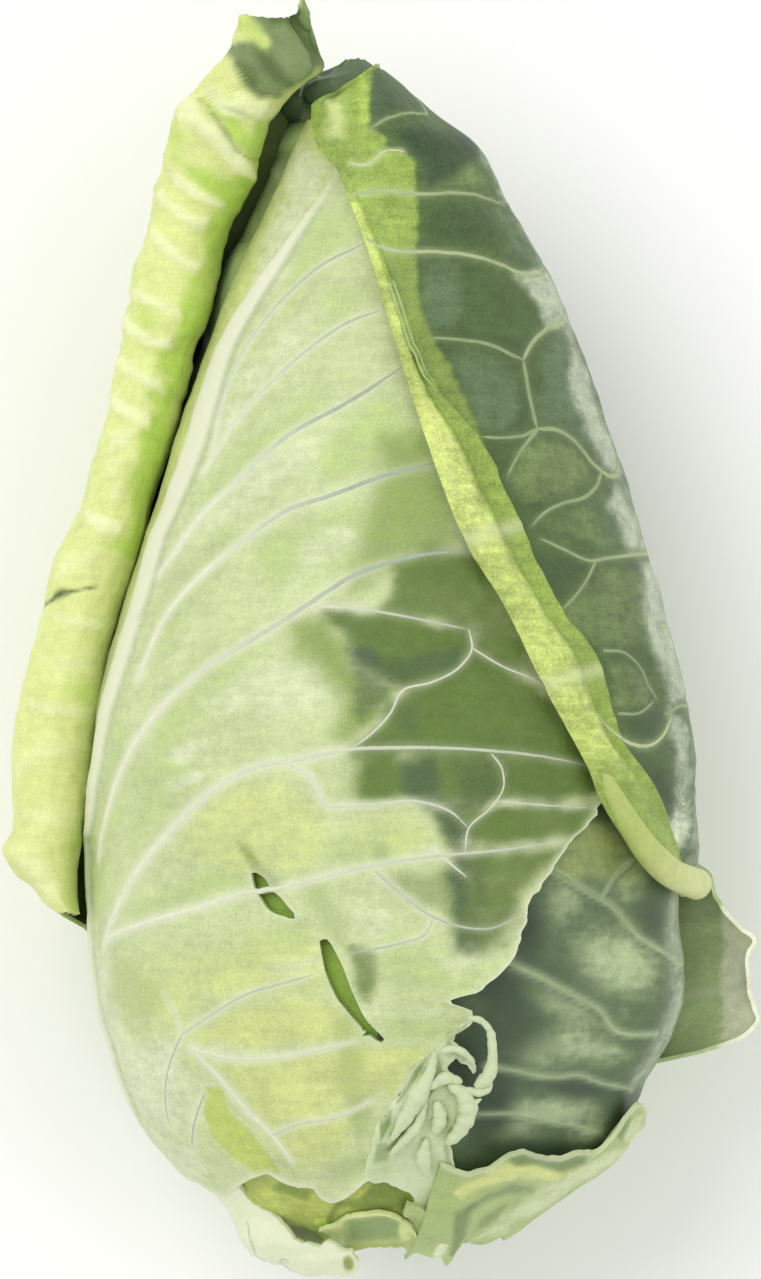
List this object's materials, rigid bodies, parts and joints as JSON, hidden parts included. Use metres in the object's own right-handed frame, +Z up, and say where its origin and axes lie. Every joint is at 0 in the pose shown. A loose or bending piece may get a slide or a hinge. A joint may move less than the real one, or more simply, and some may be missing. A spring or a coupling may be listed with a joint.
{
  "type": "pointed cabbage",
  "caption": "Pointed cabbage head, cut and lying on its side: veined leaves wrapped round a heart, one outer leaf curled away, torn leaves at the cut stalk.",
  "frame": {"origin": "on the resting surface, below the middle of the bounding box", "axes": "+Z up; +Y along the head's axis from the cut stalk to the tip; +X to the right seen from above with the tip away"},
  "size_m": [0.1582, 0.2656, 0.1178],
  "materials": {
    "heart_leaf": "waxy",
    "cut_stalk": "cut, dry",
    "dark_leaf": "waxy",
    "green_leaf": "waxy",
    "blue_green_leaf": "waxy",
    "pale_leaf": "waxy",
    "lime_leaf": "waxy, crinkled",
    "cream_leaf": "waxy",
    "olive_leaf": "waxy"
  },
  "bodies": {
    "root": {"heart": "heart_leaf", "stalk": "cut_stalk", "tip_leaf": "dark_leaf", "inner_back_leaf": "green_leaf", "lower_right_leaf": "blue_green_leaf", "front_leaf": "pale_leaf", "right_leaf": "dark_leaf", "left_curl_leaf": "lime_leaf", "ear_leaf": "green_leaf", "base_leaf_left": "cream_leaf", "base_leaf_right": "pale_leaf", "ruffled_leaf": "pale_leaf", "olive_leaf": "olive_leaf", "base_flap": "green_leaf", "base_lobe": "green_leaf"}
  },
  "joints": []
}
